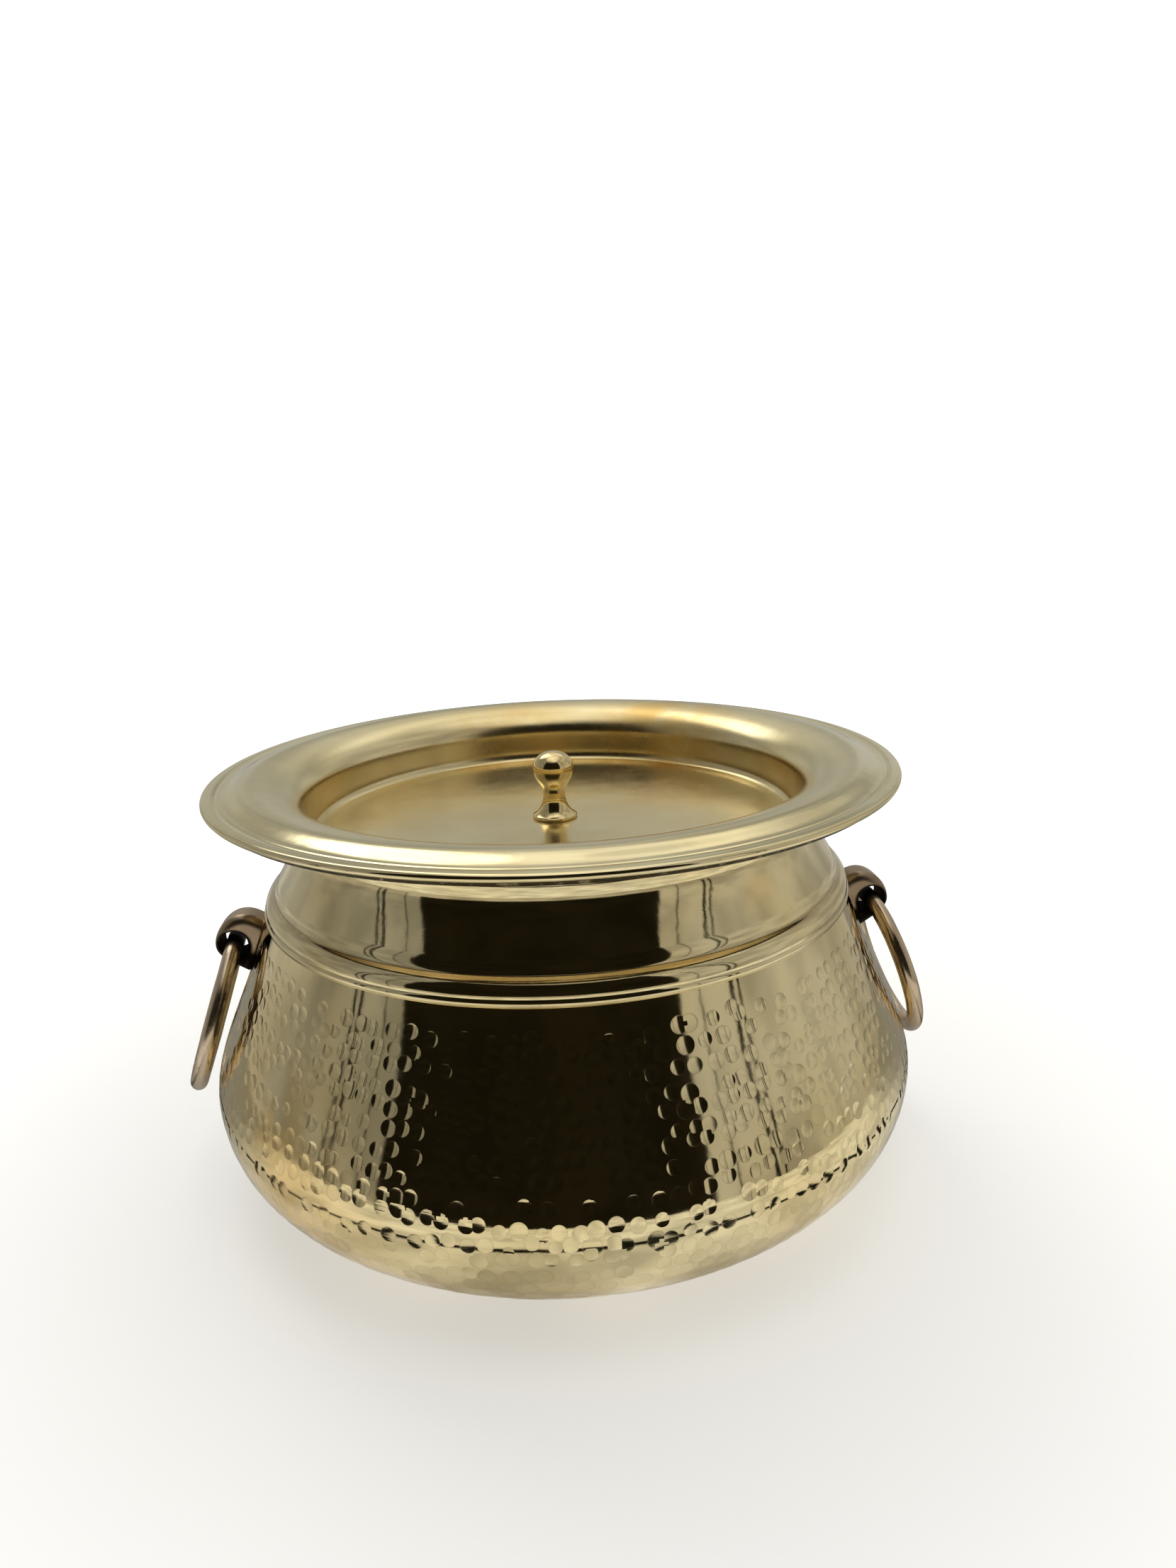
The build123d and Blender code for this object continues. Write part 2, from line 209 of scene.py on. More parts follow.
# Points round the pot: where the dents are, where it is plain, inside, and near the axis.
FINE = 600
MEDIUM = 300
COARSE = 150
SPARSE = 75
CELL = 1.42
GRID_FROM_RADIUS = 72.0
BASE_ROWS = 17
NECK_SPACING = 1.7
LIP_SPACING = 2.0
INNER_LIP_SPACING = 2.6
INNER_NECK_SPACING = 4.0
INNER_SPACING = 6.0

# Hammer marks in millimetres, and how uneven the smith's rows are.
MARKS_FROM_RADIUS = 60.0
MARK_ROW = 5.9
MARK_PITCH = 5.6
MARK_PITCH_SPREAD = 0.9
MARK_RADIUS = 2.55
MARK_RADIUS_LOW = 3.15
MARK_RADIUS_SPREAD = 0.08
WIDER_BELOW = 44.0
WIDER_OVER = 30.0
MARK_DEPTH = 0.18
SHALLOW = 0.5
SHARE_MISSING = 0.07
SHARE_MISSING_OR_SHALLOW = 0.22
TURN_SPREAD = 0.17
RISE_SPREAD = 0.62
ROW_DRIFT = ((0.9, 2), (0.6, 5), (0.5, 9))
PLAIN_BAND = 9.5
TOP_ROW_SPREAD = 1.5
LUG_CLEAR = 10.0
LUG_CLEAR_HEIGHTS = (76.0, 110.0)

# A face belongs to the dent it lies deepest in, or to one whose edge is this near.
DENT_REACH = 1.8
DENT_ABOVE = -0.12
NOT_IN_A_DENT = 9.0


def hammer_marks(skin):
    """Rows of dents: arc position, angle, radius and depth of each, with a smith's unevenness."""
    marks = []
    top = skin.s[-1] - PLAIN_BAND
    s = top
    while skin.radius(s) > MARKS_FROM_RADIUS:
        r = skin.radius(s)
        low = min(1.0, max(0.0, (WIDER_BELOW - skin.height(s)) / WIDER_OVER))
        pitch = MARK_PITCH + MARK_PITCH_SPREAD * RNG.random()
        count = int(TURN * r / pitch)
        phase = RNG.random() * TURN
        wander = RNG.random(3) * TURN
        for n in range(count):
            a = phase + TURN * (n + RNG.normal(0, TURN_SPREAD)) / count
            drift = sum(much * math.sin(waves * a + at) for (much, waves), at in zip(ROW_DRIFT, wander))
            at = s + drift + RNG.normal(0, RISE_SPREAD)
            size = MARK_RADIUS + low * (MARK_RADIUS_LOW - MARK_RADIUS)
            size *= 1 + RNG.normal(0, MARK_RADIUS_SPREAD)
            depth = MARK_DEPTH * (0.65 + 0.65 * RNG.random())
            chance = RNG.random()
            if chance < SHARE_MISSING:
                continue
            if chance < SHARE_MISSING_OR_SHALLOW:
                depth *= SHALLOW
            if at > top + TOP_ROW_SPREAD:
                at = top + TOP_ROW_SPREAD * RNG.random()
            if not near_lug(skin, at, a, r):
                marks.append((at, a % TURN, size, depth))
        s -= MARK_ROW
    return marks


def near_lug(skin, s, a, r):
    """Whether a mark would be under a lug, at either end of the X axis."""
    side = min(a % math.pi, math.pi - a % math.pi) * r
    low, high = LUG_CLEAR_HEIGHTS
    return side < LUG_CLEAR and low < skin.height(s) < high


class Hammered:
    """The pot's outer face from the base to the crease, as a grid in arc position and angle."""

    def __init__(self):
        flat = np.stack([np.linspace(0, BASE_RADIUS, 200), np.zeros(200)], 1)
        self.curve = np.concatenate([flat, bezier(BELLY, 900)[1:], bezier(SHOULDER, 700)[1:]])
        length = np.linalg.norm(np.diff(self.curve, axis=0), axis=1)
        self.s = np.concatenate([[0], np.cumsum(length)])
        step = np.gradient(self.curve, self.s, axis=0)
        self.step = step / np.linalg.norm(step, axis=1)[:, None]
        self.marks = np.array(hammer_marks(self))

    def radius(self, s):
        return np.interp(s, self.s, self.curve[:, 0])

    def height(self, s):
        return np.interp(s, self.s, self.curve[:, 1])

    def arc_at(self, radius):
        """The arc position of a radius on the underside, where the radius grows all the way."""
        rising = slice(0, np.argmax(self.curve[:, 0]))
        return np.interp(radius, self.curve[rising, 0], self.s[rising])

    def along(self, s):
        step = np.stack([np.interp(s, self.s, self.step[:, k]) for k in (0, 1)], -1)
        return step / np.linalg.norm(step, axis=-1, keepdims=True)

    @staticmethod
    def turn_between(a, b):
        return (a - b + math.pi) % TURN - math.pi

    def deepest(self, s_rows, angles):
        """For each point of a grid, how far inside its deepest dent it lies, and which dent that is."""
        inside = np.full((len(s_rows), len(angles)), DENT_ABOVE)
        owner = np.full(inside.shape, -1)
        for n, (at, angle, size, deep) in enumerate(self.marks):
            reach = size + DENT_REACH
            rows = np.nonzero(np.abs(s_rows - at) < reach)[0]
            if not len(rows):
                continue
            r = self.radius(at)
            first = math.floor((angle - reach / r - angles[0]) / TURN * len(angles))
            last = math.ceil((angle + reach / r - angles[0]) / TURN * len(angles))
            cols = np.arange(first, last + 1) % len(angles)
            ij = np.ix_(rows, cols)
            across = self.turn_between(angles[cols], angle)[None, :] * r
            here = deep * (1 - ((s_rows[rows] - at)[:, None] ** 2 + across**2) / size**2)
            more = here > inside[ij]
            inside[ij] = np.where(more, here, inside[ij])
            owner[ij] = np.where(more, n, owner[ij])
        return inside, owner

    def points(self, s, a, depth):
        step = self.along(s)
        r = self.radius(s) - depth * step[..., 1]
        z = self.height(s) + depth * step[..., 0]
        return np.stack([r * np.cos(a), r * np.sin(a), z], -1)

    def in_dent(self, s, a, owner):
        """Each corner's place in its face's dent, in dent radii up and across, its depth and radius."""
        at, angle, size, deep = np.moveaxis(self.marks[np.maximum(owner, 0)], -1, 0)
        up = (s - at) / size
        across = self.turn_between(a, angle) * self.radius(at) / size
        none = owner < 0
        up = np.where(none, NOT_IN_A_DENT, up)
        across = np.where(none, NOT_IN_A_DENT, across)
        return up, across, np.where(none, 0.0, deep), size

    def normals(self, s, a, up, across, tilt):
        """Normals of the smooth face, tilted where a dent's bowl is."""
        step = self.along(s)
        out = np.stack([step[..., 1] * np.cos(a), step[..., 1] * np.sin(a), -step[..., 0]], -1)
        rise = np.stack([step[..., 0] * np.cos(a), step[..., 0] * np.sin(a), step[..., 1]], -1)
        side = np.stack([-np.sin(a), np.cos(a), np.zeros_like(a)], -1)
        n = out - (tilt * up)[..., None] * rise - (tilt * across)[..., None] * side
        return n / np.linalg.norm(n, axis=-1, keepdims=True)


def add_base(lathe, skin, end):
    """The flat of the base and the plain start of the belly, up to an arc position."""
    lathe.row(0, 0, 1)
    lathe.row(4, 0, SPARSE)
    for s in np.linspace(8, end, BASE_ROWS):
        count = SPARSE if s < 14 else COARSE if s < 34 else MEDIUM
        lathe.row(skin.radius(s), skin.height(s), count)


def add_dented(lathe, skin, s_rows, angles):
    """The dented band of the belly. Gives back the number of its first face."""
    depth = np.maximum(skin.deepest(s_rows, angles)[0], 0)
    depth[0] = depth[-1] = 0
    s, a = np.meshgrid(s_rows, angles, indexing="ij")
    grid = skin.points(s, a, depth)
    lathe.add(grid[0].tolist())
    first_face = len(lathe.faces)
    for n, points in enumerate(grid[1:], 2):
        lathe.add(points.tolist(), sharp=n == len(grid))
    return first_face


def add_neck_and_rim(lathe):
    """Ridge, bead, fillet, neck, lip and the outside of the rolled rim, then the seat on its top."""
    add_rows(lathe, arc3(CREASE, RIDGE_MIDDLE, RIDGE_TOP, 8), MEDIUM, sharp_last=True)
    add_rows(lathe, arc3(RIDGE_TOP, BEAD_MIDDLE, BEAD_TOP, 13), MEDIUM)
    add_rows(lathe, bezier2([BEAD_TOP, FILLET, NECK_FOOT], 8), MEDIUM)
    add_rows(lathe, even(bezier(NECK, 300), NECK_SPACING), MEDIUM)
    add_rows(lathe, even(bezier(LIP, 300), LIP_SPACING), MEDIUM)
    add_rows(lathe, circle(RIM_CENTRE, RIM_ROLL, np.arange(-90, 64, 14)), MEDIUM)
    lathe.row(RIM_CENTRE[0] + 0.85, SEAT_HEIGHT, MEDIUM)
    lathe.row(RIM_CENTRE[0] - 0.85, SEAT_HEIGHT, MEDIUM)
    lathe.row(RIM_CENTRE[0] - 1.6, RIM_CENTRE[1] + 1.0, MEDIUM)
    lathe.row(RIM_CENTRE[0] - RIM_ROLL, RIM_CENTRE[1] - 0.1, COARSE)


def add_inside(lathe):
    """The plain inner face, from the lip down to the middle of the floor."""
    lip, neck, shoulder = (offset(bezier(part, 60), WALL)[::-1] for part in (LIP, NECK, SHOULDER))
    belly = offset(bezier(BELLY, 90), WALL)[::-1]
    add_rows(lathe, even(lip[4:], INNER_LIP_SPACING), COARSE, skip_first=False)
    add_rows(lathe, even(neck, INNER_NECK_SPACING), COARSE)
    add_rows(lathe, even(shoulder, INNER_SPACING), COARSE, skip_first=False)
    add_rows(lathe, even(belly, INNER_SPACING), COARSE)
    lathe.row(26, WALL, SPARSE)
    lathe.row(0, WALL, 1)


def pot_mesh():
    """The whole pot as one closed mesh: dented outside, smooth neck, rolled rim, plain inside."""
    skin = Hammered()
    start, total = skin.arc_at(GRID_FROM_RADIUS), skin.s[-1]
    s_rows = np.linspace(start, total, round((total - start) / CELL) + 1)
    angles = TURN * np.arange(FINE) / FINE
    lathe = Lathe()
    add_base(lathe, skin, start - CELL * 2)
    first_face = add_dented(lathe, skin, s_rows, angles)
    add_neck_and_rim(lathe)
    add_inside(lathe)
    obj = lathe.object("hammered_pot")
    shape_dents(obj.data, skin, s_rows, angles, first_face)
    return obj


def shape_dents(mesh, skin, s_rows, angles, first_face):
    """Exact normals inside each dent, and each corner's place in its dent, for the crisp rims."""
    middle_s = (s_rows[1:] + s_rows[:-1]) / 2
    middle_a = angles + angles[1] / 2
    owner = skin.deepest(middle_s, middle_a)[1]
    low, high = s_rows[:-1, None], s_rows[1:, None]
    left, right = angles[None, :], angles[None, :] + angles[1]
    flat = np.zeros(owner.shape)
    s = np.stack([low + flat, low + flat, high + flat, high + flat], -1)
    a = np.stack([left + flat, right + flat, right + flat, left + flat], -1)
    up, across, deep, size = skin.in_dent(s, a, np.repeat(owner[..., None], 4, -1))
    whole = (np.hypot(up, across).max(-1) <= 1.0)[..., None]
    tilt = np.where(whole, 2 * deep / size, 0.0)
    normals = skin.normals(s, a, up, across, tilt)
    place = np.stack([up, across, np.where(whole, 0.0, deep)], -1)
    start = mesh.polygons[first_face].loop_start
    count = owner.size * 4
    custom = np.zeros((len(mesh.loops), 3))
    custom[start:start + count] = normals.reshape(-1, 3)
    mesh.normals_split_custom_set(custom.tolist())
    places = np.tile([NOT_IN_A_DENT, NOT_IN_A_DENT, 0.0], (len(mesh.loops), 1))
    places[start:start + count] = place.reshape(-1, 3)
    dent = mesh.attributes.new("dent", "FLOAT_VECTOR", "CORNER")
    dent.data.foreach_set("vector", places.ravel())


# ---------------------------------------------------------------- lid and knob

LID_SHEET = 1.2
LID_FLOOR = 136.3
LID_HOLE = 2.7
LID_CORNER = [(88, LID_FLOOR), (92.3, LID_FLOOR), (93.5, 137.9), (93.5, 141.8)]
LID_WALL = [(93.5, 141.8), (93.5, 148.5)]
LID_FLARE = [(93.5, 148.5), (93.5, 155.0), (102.5, 160.6), (113.6, 160.6)]
LID_SLOPE = [(113.6, 160.6), (116.6, 160.6), (118.6, 158.9), (121.6, 158.4)]
LID_FLANGE_TOP = 158.4
LID_GROOVE = 123.6
LID_GROOVE_DEPTH = 0.22
LID_EDGE = (127.4, 157.05)
LID_EDGE_ROLL = 1.35
LID_COLUMNS = 360
# Radius and points round, from the hole to the corner and back: the floor's top and underside.
FLOOR_ROWS = ((LID_HOLE, 90), (6, 90), (12, 90), (20, 180), (32, 180), (44, 180), (56, LID_COLUMNS),
              (68, LID_COLUMNS), (78, LID_COLUMNS), (84, LID_COLUMNS), (88, LID_COLUMNS))
UNDER_ROWS = ((76, LID_COLUMNS), (60, 180), (44, 180), (30, 180), (20, 90), (LID_HOLE, 90))


def add_lid_top(lathe):
    """Floor, wall, flare, sloping flange with its turned groove, and the rolled edge."""
    for r, count in FLOOR_ROWS:
        lathe.row(r, LID_FLOOR, count)
    add_rows(lathe, even(bezier(LID_CORNER, 80), 0.8), LID_COLUMNS)
    add_rows(lathe, even(np.array(LID_WALL), 1.6), LID_COLUMNS)
    add_rows(lathe, even(bezier(LID_FLARE, 120), 1.2), LID_COLUMNS)
    add_rows(lathe, even(bezier(LID_SLOPE, 80), 1.0), LID_COLUMNS)
    lathe.row(122.6, LID_FLANGE_TOP, LID_COLUMNS)
    for aside, dip in ((-0.45, 0), (-0.15, LID_GROOVE_DEPTH), (0.15, LID_GROOVE_DEPTH), (0.45, 0)):
        lathe.row(LID_GROOVE + aside, LID_FLANGE_TOP - dip, LID_COLUMNS)
    lathe.row(125.4, LID_FLANGE_TOP, LID_COLUMNS)
    edge = circle(LID_EDGE, LID_EDGE_ROLL, np.arange(90, -240, -20))
    add_rows(lathe, edge, LID_COLUMNS, skip_first=False)


def add_lid_underside(lathe):
    """The seat and the sheet's other face, back in to the hole."""
    slope, flare, corner = (
        offset(bezier(part, 60), -LID_SHEET)[::-1] for part in (LID_SLOPE, LID_FLARE, LID_CORNER))
    lathe.row(126.0, SEAT_HEIGHT, LID_COLUMNS)
    lathe.row(122.0, SEAT_HEIGHT, LID_COLUMNS)
    add_rows(lathe, even(slope, 2.2)[:-1], LID_COLUMNS)
    add_rows(lathe, even(flare, 2.2), LID_COLUMNS, skip_first=False)
    add_rows(lathe, even(corner, 1.6), LID_COLUMNS, skip_first=False)
    for r, count in UNDER_ROWS:
        lathe.row(r, LID_FLOOR - LID_SHEET, count)


def lid_mesh():
    """The spun lid, one closed sheet with a hole for the knob's screw."""
    lathe = Lathe()
    add_lid_top(lathe)
    add_lid_underside(lathe)
    lathe.join(lathe.rows[-1], lathe.rows[0])
    return lathe.object("spun_lid")


KNOB_COLUMNS = 72
KNOB_SPACING = 0.5
KNOB_FOOT = 8.6
KNOB_NECK = 4.3
KNOB_HEAD = 7.8
KNOB_HEIGHT = 26.0
KNOB_GAP = 0.02


def knob_mesh():
    """The turned knob: foot, waist, bud head. Its section's heights start at the lid's floor."""
    sole, top = LID_FLOOR + KNOB_GAP, LID_FLOOR + KNOB_HEIGHT
    foot = [(3.0, sole), (6.0, sole), (8.3, sole),
            (KNOB_FOOT, LID_FLOOR + 0.3), (KNOB_FOOT, LID_FLOOR + 0.95)]
    waist = [(8.45, 1.2), (5.4, 2.8), (KNOB_NECK, 6.4), (KNOB_NECK, 8.4)]
    neck = [(KNOB_NECK, 8.4), (KNOB_NECK, 10.5)]
    head = [(KNOB_NECK, 10.5), (4.7, 13.5), (KNOB_HEAD, 14.8), (KNOB_HEAD, 19.8)]
    dome = [(KNOB_HEAD, 19.8), (KNOB_HEAD, 23.52), (4.29, KNOB_HEIGHT), (0, KNOB_HEIGHT)]
    waist, neck, head, dome = ([(r, LID_FLOOR + z) for r, z in part] for part in (waist, neck, head, dome))
    lathe = Lathe()
    lathe.row(0, sole, 1)
    add_rows(lathe, foot, KNOB_COLUMNS, skip_first=False)
    add_rows(lathe, even(bezier(waist, 60), KNOB_SPACING), KNOB_COLUMNS, skip_first=False)
    add_rows(lathe, even(np.array(neck), KNOB_SPACING), KNOB_COLUMNS)
    add_rows(lathe, even(bezier(head, 60), KNOB_SPACING), KNOB_COLUMNS)
    add_rows(lathe, even(bezier(dome, 60), KNOB_SPACING)[:-1], KNOB_COLUMNS)
    lathe.row(0, top, 1)
    return lathe.object("turned_knob")


# ---------------------------------------------------------------- rings and lugs

RING_RADIUS = 28.9
RING_ROD = 3.25
RING_PIVOT = Vector((125.9, 0, 94.7))
RIGHT_RING = (math.radians(16.1), 0.0)
LEFT_RING = (math.radians(19.3), math.radians(4.75))
RING_AROUND = 220
RING_ACROSS = 28
# The rod's unevenness round the ring, as (amount, waves), and the brazed joint's place and width.
ROD_WAVES = ((0.035, 3), (0.03, 7), (0.02, 13))
ROD_UNEVENNESS = 0.25
ROD_THINNER = 0.985
JOINT_AT = 0.62 * math.pi
JOINT_WIDTH = 0.022
JOINT_DEPTH = 0.16


def rod_radius(t, seed):
    """The rod's radius at each angle round the ring."""
    phase = np.random.default_rng(seed).random(len(ROD_WAVES)) * TURN
    swell = sum(much * np.sin(waves * t + start) for (much, waves), start in zip(ROD_WAVES, phase))
    joint = np.exp(-(((t - JOINT_AT + math.pi) % TURN - math.pi) / JOINT_WIDTH) ** 2)
    return RING_ROD * (ROD_THINNER + ROD_UNEVENNESS * swell) - JOINT_DEPTH * joint


def ring_mesh(name, side, hang, seed):
    """A ring bent from rod, brazed at one place, a little uneven from hand work."""
    lean, skew = hang
    t = TURN * np.arange(RING_AROUND) / RING_AROUND
    u = TURN * np.arange(RING_ACROSS) / RING_ACROSS
    rod = rod_radius(t, seed)
    turned = Matrix.Rotation(skew, 3, "Z") @ Matrix.Rotation(-lean, 3, "Y")
    co = []
    faces = []
    for n in range(RING_AROUND):
        for k in range(RING_ACROSS):
            out = RING_RADIUS + rod[n] * math.cos(u[k])
            across = rod[n] * math.sin(u[k])
            local = Vector((across, out * math.sin(t[n]), -RING_RADIUS + out * math.cos(t[n])))
            co.append((RING_PIVOT + turned @ local) * MM)
            here, after = n * RING_ACROSS, (n + 1) % RING_AROUND * RING_ACROSS
            beside = (k + 1) % RING_ACROSS
            faces.append((here + k, here + beside, after + beside, after + k))
    mesh = bpy.data.meshes.new(name)
    mesh.from_pydata([tuple(c) for c in co], [], faces)
    mesh.polygons.foreach_set("use_smooth", [True] * len(mesh.polygons))
    mesh.update()
    if side < 0:
        mesh.transform(Matrix.Rotation(math.pi, 4, "Z"))
    return shown(name, mesh)


def outward(obj):
    """Makes the mesh's faces point outward."""
    work = bmesh.new()
    work.from_mesh(obj.data)
    bmesh.ops.recalc_face_normals(work, faces=work.faces)
    work.to_mesh(obj.data)
    work.free()


LUG_VOXEL = 0.42
LUG_SMOOTHING = 0.5
LUG_SMOOTHINGS = 9


def lug_mesh(name, node):
    """The casting, from its CAD solid, with its edges melted together as sand casting leaves them."""
    obj = shown(name, frame["nodes"][node].data.copy())
    obj.data.materials.clear()
    remesh = obj.modifiers.new("remesh", "REMESH")
    remesh.mode = "VOXEL"
    remesh.voxel_size = LUG_VOXEL * MM
    smooth = obj.modifiers.new("smooth", "SMOOTH")
    smooth.factor = LUG_SMOOTHING
    smooth.iterations = LUG_SMOOTHINGS
    bpy.context.view_layer.update()
    graph = bpy.context.evaluated_depsgraph_get()
    mesh = bpy.data.meshes.new_from_object(obj.evaluated_get(graph))
    obj.modifiers.clear()
    obj.data = mesh
    mesh.name = name
    mesh.polygons.foreach_set("use_smooth", [True] * len(mesh.polygons))
    return obj


# ---------------------------------------------------------------- node trees

class Nodes:
    """Short names for building a node tree."""

    def __init__(self, tree):
        self.tree = tree
        tree.nodes.clear()

    def add(self, kind, **values):
        node = self.tree.nodes.new(kind)
        for key, value in values.items():
            setattr(node, key, value)
        return node

    def link(self, source, target):
        self.tree.links.new(source, target)

    def put(self, socket, value):
        if isinstance(value, bpy.types.NodeSocket):
            self.link(value, socket)
        else:
            socket.default_value = value

    def math(self, operation, a, b=0.0):
        node = self.add("ShaderNodeMath", operation=operation)
        self.put(node.inputs[0], a)
        self.put(node.inputs[1], b)
        return node.outputs[0]

    def plus(self, a, b):
        return self.math("ADD", a, b)

    def times(self, a, b):
        return self.math("MULTIPLY", a, b)

    def vector(self, operation, a, b=None):
        node = self.add("ShaderNodeVectorMath", operation=operation)
        self.put(node.inputs[0], a)
        if b is not None:
            self.put(node.inputs[1], b)
        return node.outputs["Value"] if operation in ("DISTANCE", "LENGTH") else node.outputs[0]

    def parts(self, vector):
        node = self.add("ShaderNodeSeparateXYZ")
        self.link(vector, node.inputs[0])
        return node.outputs

    def ramp(self, value, low, high, start=0.0, end=1.0):
        node = self.add("ShaderNodeMapRange", interpolation_type="SMOOTHSTEP")
        for socket, v in zip(node.inputs[:5], (value, low, high, start, end)):
            self.put(socket, v)
        return node.outputs[0]

    def band(self, value, low, high, soft):
        """1 between two values, with soft edges."""
        rise = self.ramp(value, low - soft, low + soft)
        return self.times(rise, self.ramp(value, high - soft, high + soft, 1.0, 0.0))

    def spot(self, where, centre, size, full):
        """1 within a distance of a place, falling to 0 at a larger one."""
        return self.ramp(self.vector("DISTANCE", where, centre), full, size, 1.0, 0.0)

    def mix(self, factor, a, b):
        node = self.add("ShaderNodeMix", data_type="RGBA")
        self.put(node.inputs[0], factor)
        self.put(node.inputs[6], a)
        self.put(node.inputs[7], b)
        return node.outputs[2]

    def noise(self, where, scale, detail=3.0, roughness=0.5):
        node = self.add("ShaderNodeTexNoise")
        self.link(where, node.inputs["Vector"])
        node.inputs["Scale"].default_value = scale
        node.inputs["Detail"].default_value = detail
        node.inputs["Roughness"].default_value = roughness
        return node.outputs[0]

    def bump(self, height, strength, distance, normal=None):
        node = self.add("ShaderNodeBump")
        node.inputs["Strength"].default_value = strength
        node.inputs["Distance"].default_value = distance
        self.link(height, node.inputs["Height"])
        if normal is not None:
            self.link(normal, node.inputs["Normal"])
        return node.outputs[0]


# ---------------------------------------------------------------- brass

# Shader places and sizes are in metres, as the object coordinates are.
BRASS = (0.74, 0.605, 0.325, 1)
BRASS_PALE = (0.80, 0.685, 0.41, 1)
BRASS_AMBER = (0.74, 0.49, 0.16, 1)
BRASS_BROWN = (0.34, 0.21, 0.09, 1)
# Painted shade: near black, for the gap where the lid's edge sits on the pot's rim.
RIM_PAINTED_SHADE = (0.03, 0.02, 0.01, 1)
# Partly tarnish, partly a painted reflection, for the fillet over the bead.
FILLET_TARNISH_AND_REFLECTION = (0.20, 0.09, 0.03, 1)
# Painted shade: near black, for the lug's eye and the gap under its hood.
PAINTED_SHADE_BLACK = (0.012, 0.008, 0.005, 1)
LINES_PER_METRE = 1500.0
LINE_TURNS = 3.0


